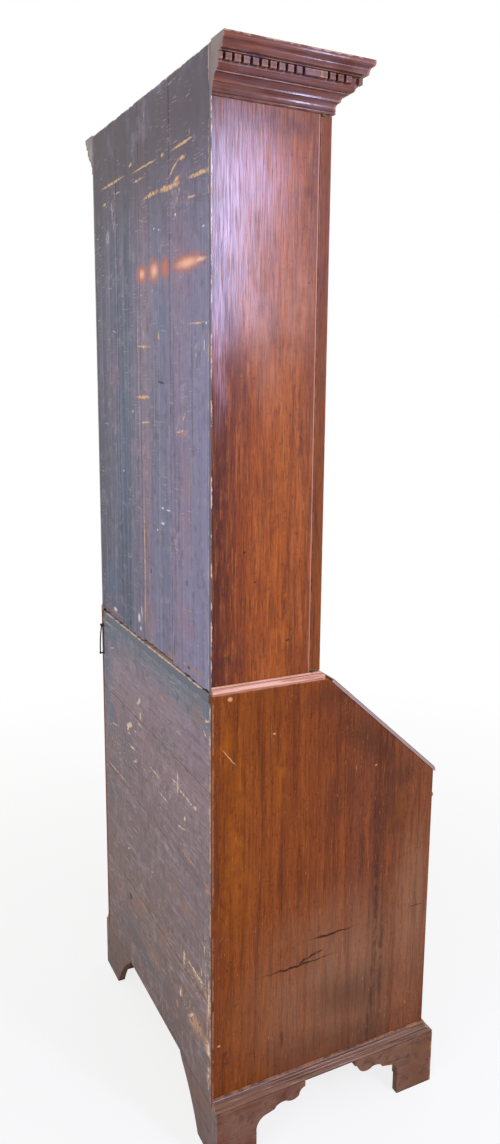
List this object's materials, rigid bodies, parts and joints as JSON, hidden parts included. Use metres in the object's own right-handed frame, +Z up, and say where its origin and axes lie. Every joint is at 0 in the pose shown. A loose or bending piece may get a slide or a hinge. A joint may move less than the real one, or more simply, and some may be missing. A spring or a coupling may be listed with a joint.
{
  "type": "bureau bookcase",
  "caption": "Tall narrow slope-front bureau with drawers and a fitted interior, carrying a two-door bookcase with a dentil cornice, on bracket feet.",
  "frame": {"origin": "on the floor under the middle of the whole piece", "axes": "+Z up, front faces -Y, +X to the right as seen from the front"},
  "size_m": [0.82, 0.5626, 2.15],
  "materials": {
    "mahogany_case": "worn French polish",
    "mahogany_moulding": "worn French polish",
    "mahogany_rear_foot": "worn polish",
    "mahogany_front": "French polish",
    "mahogany_panel": "French polish",
    "mahogany_inner": "thin polish",
    "softwood": "bare, aged",
    "stained_back_upper": "matt blue-grey stain, worn",
    "stained_back_lower": "matt purple-grey stain, worn",
    "aged_brass": "aged",
    "dark_iron": "dark, rubbed"
  },
  "bodies": {
    "carcase": {"bureau_side_right": "mahogany_case", "bureau_side_left": "mahogany_case", "bureau_top": "mahogany_case", "bureau_bottom": "softwood", "bureau_back_boards": "stained_back_lower", "drawer_dividers": "softwood", "loper_partitions": "softwood", "writing_board": "mahogany_case", "plinth_moulding": "mahogany_moulding", "front_foot_right": "mahogany_moulding", "front_foot_left": "mahogany_moulding", "rear_foot_right": "mahogany_rear_foot", "rear_foot_left": "mahogany_rear_foot", "foot_blocks": "softwood", "rear_pull_plate": "dark_iron", "fall_hinge_plates": "aged_brass", "pigeonhole_case": "mahogany_inner", "pigeonhole_valances": "mahogany_inner", "bookcase_side_right": "mahogany_case", "bookcase_side_left": "mahogany_case", "bookcase_bottom": "mahogany_inner", "bookcase_top": "mahogany_inner", "bookcase_back_boards": "stained_back_upper", "bookcase_shelves": "mahogany_inner", "shelf_cleats": "mahogany_inner", "waist_moulding": "mahogany_moulding", "cornice_moulding": "mahogany_moulding", "cornice_ground": "mahogany_moulding", "cornice_dentils": "mahogany_moulding", "door_pivot_plates": "aged_brass"},
    "fall": {"fall_board": "mahogany_case", "fall_hinge_leaves": "aged_brass", "fall_escutcheon": "aged_brass"},
    "loper_right": {"loper_right": "mahogany_case", "loper_knob_right": "aged_brass"},
    "loper_left": {"loper_left": "mahogany_case", "loper_knob_left": "aged_brass"},
    "door_right": {"door_frame_right": "mahogany_front", "door_panel_right": "mahogany_panel", "door_pivots_right": "aged_brass", "door_escutcheon": "aged_brass"},
    "door_left": {"door_frame_left": "mahogany_front", "door_panel_left": "mahogany_panel", "door_pivots_left": "aged_brass"},
    "small_drawer_right": {"small_drawer_right": "mahogany_inner"},
    "small_drawer_left": {"small_drawer_left": "mahogany_inner"},
    "prospect_door": {"prospect_door": "mahogany_inner"},
    "rear_pull": {"rear_pull_drop": "dark_iron"},
    "drawer_1": {"drawer_1_front": "mahogany_front", "drawer_1_box": "softwood", "drawer_1_brasses": "aged_brass"},
    "drawer_2": {"drawer_2_front": "mahogany_front", "drawer_2_box": "softwood", "drawer_2_brasses": "aged_brass"},
    "drawer_3": {"drawer_3_front": "mahogany_front", "drawer_3_box": "softwood", "drawer_3_brasses": "aged_brass"},
    "drawer_4": {"drawer_4_front": "mahogany_front", "drawer_4_box": "softwood", "drawer_4_brasses": "aged_brass"}
  },
  "joints": [
    {"name": "fall_hinge", "type": "hinge", "parent": "carcase", "child": "fall", "pos_m": [0, -0.25235, 0.74979], "axis": [1, 0, 0], "range_deg": [0, 137.76]},
    {"name": "loper_right_slide", "type": "slide", "parent": "carcase", "child": "loper_right", "axis": [0, -1, 0], "range_m": [0, 0.26]},
    {"name": "loper_left_slide", "type": "slide", "parent": "carcase", "child": "loper_left", "axis": [0, -1, 0], "range_m": [0, 0.26]},
    {"name": "door_right_swing", "type": "hinge", "parent": "carcase", "child": "door_right", "pos_m": [0.355, 0.05405, 1.0312], "axis": [0, 0, 1], "range_deg": [0, 170]},
    {"name": "door_left_swing", "type": "hinge", "parent": "carcase", "child": "door_left", "pos_m": [-0.355, 0.05405, 1.0312], "axis": [0, 0, -1], "range_deg": [0, 170]},
    {"name": "small_drawer_right_slide", "type": "slide", "parent": "carcase", "child": "small_drawer_right", "axis": [0, -1, 0], "range_m": [0, 0.13]},
    {"name": "small_drawer_left_slide", "type": "slide", "parent": "carcase", "child": "small_drawer_left", "axis": [0, -1, 0], "range_m": [0, 0.13]},
    {"name": "prospect_door_swing", "type": "hinge", "parent": "carcase", "child": "prospect_door", "pos_m": [-0.0496, 0.03565, 0.75579], "axis": [0, 0, -1], "range_deg": [0, 90]},
    {"name": "rear_pull_swing", "type": "hinge", "parent": "carcase", "child": "rear_pull", "pos_m": [0.35, 0.27465, 0.9743], "axis": [1, 0, 0], "range_deg": [0, 95]},
    {"name": "drawer_1_slide", "type": "slide", "parent": "carcase", "child": "drawer_1", "axis": [0, -1, 0], "range_m": [0, 0.3]},
    {"name": "drawer_2_slide", "type": "slide", "parent": "carcase", "child": "drawer_2", "axis": [0, -1, 0], "range_m": [0, 0.34]},
    {"name": "drawer_3_slide", "type": "slide", "parent": "carcase", "child": "drawer_3", "axis": [0, -1, 0], "range_m": [0, 0.34]},
    {"name": "drawer_4_slide", "type": "slide", "parent": "carcase", "child": "drawer_4", "axis": [0, -1, 0], "range_m": [0, 0.34]}
  ]
}
